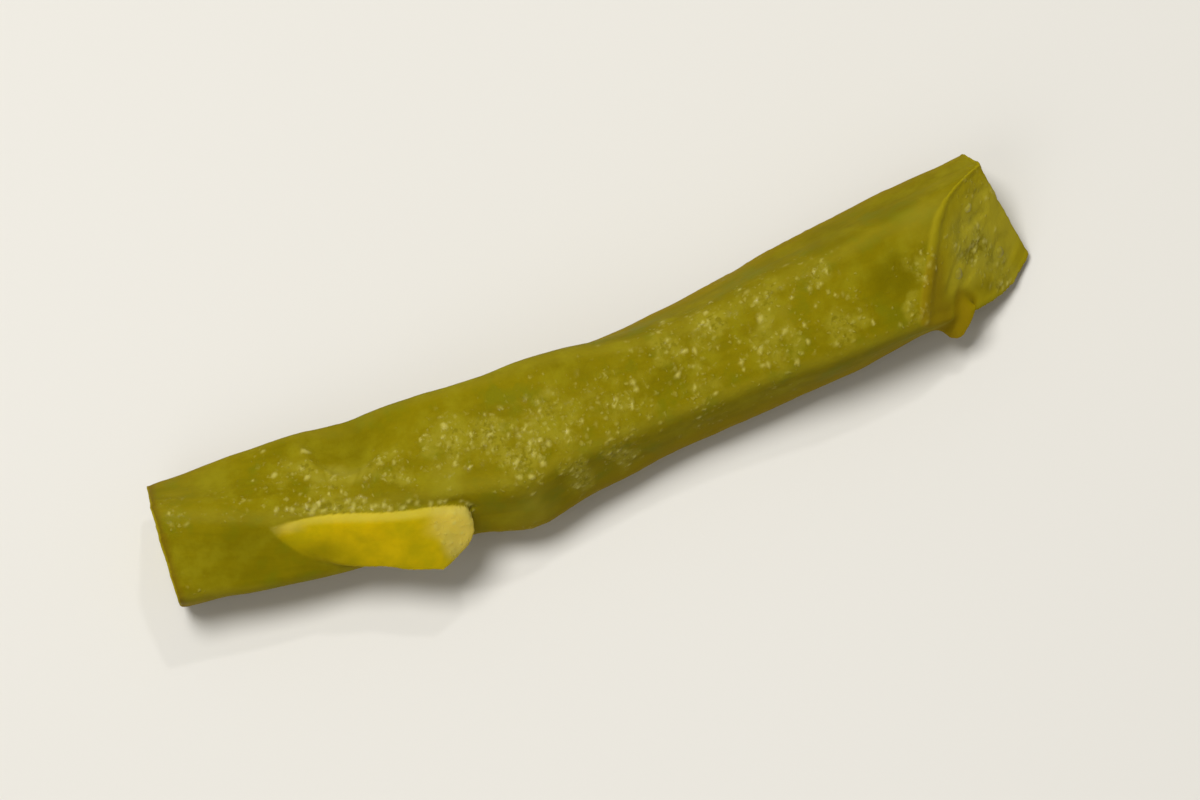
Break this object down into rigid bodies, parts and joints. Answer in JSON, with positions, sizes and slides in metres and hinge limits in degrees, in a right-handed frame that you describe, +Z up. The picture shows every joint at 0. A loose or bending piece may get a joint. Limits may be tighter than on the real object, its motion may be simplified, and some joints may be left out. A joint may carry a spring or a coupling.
{
  "type": "okra pod",
  "caption": "Cooked okra pod cut to a length, lying on its side, with soft ridges, a peeled strip of skin, a square cut end and a slant cut end showing seed chambers.",
  "frame": {"origin": "middle of the object's box, at the height of the flat underside it lies on", "axes": "+X along the pod from its square cut to its slant cut, +Y to the side away from the peeled strip, +Z up"},
  "size_m": [0.0804, 0.0194, 0.0119],
  "materials": {
    "cooked_pod": "gloss"
  },
  "bodies": {
    "root": {"pod": "cooked_pod"}
  },
  "joints": []
}
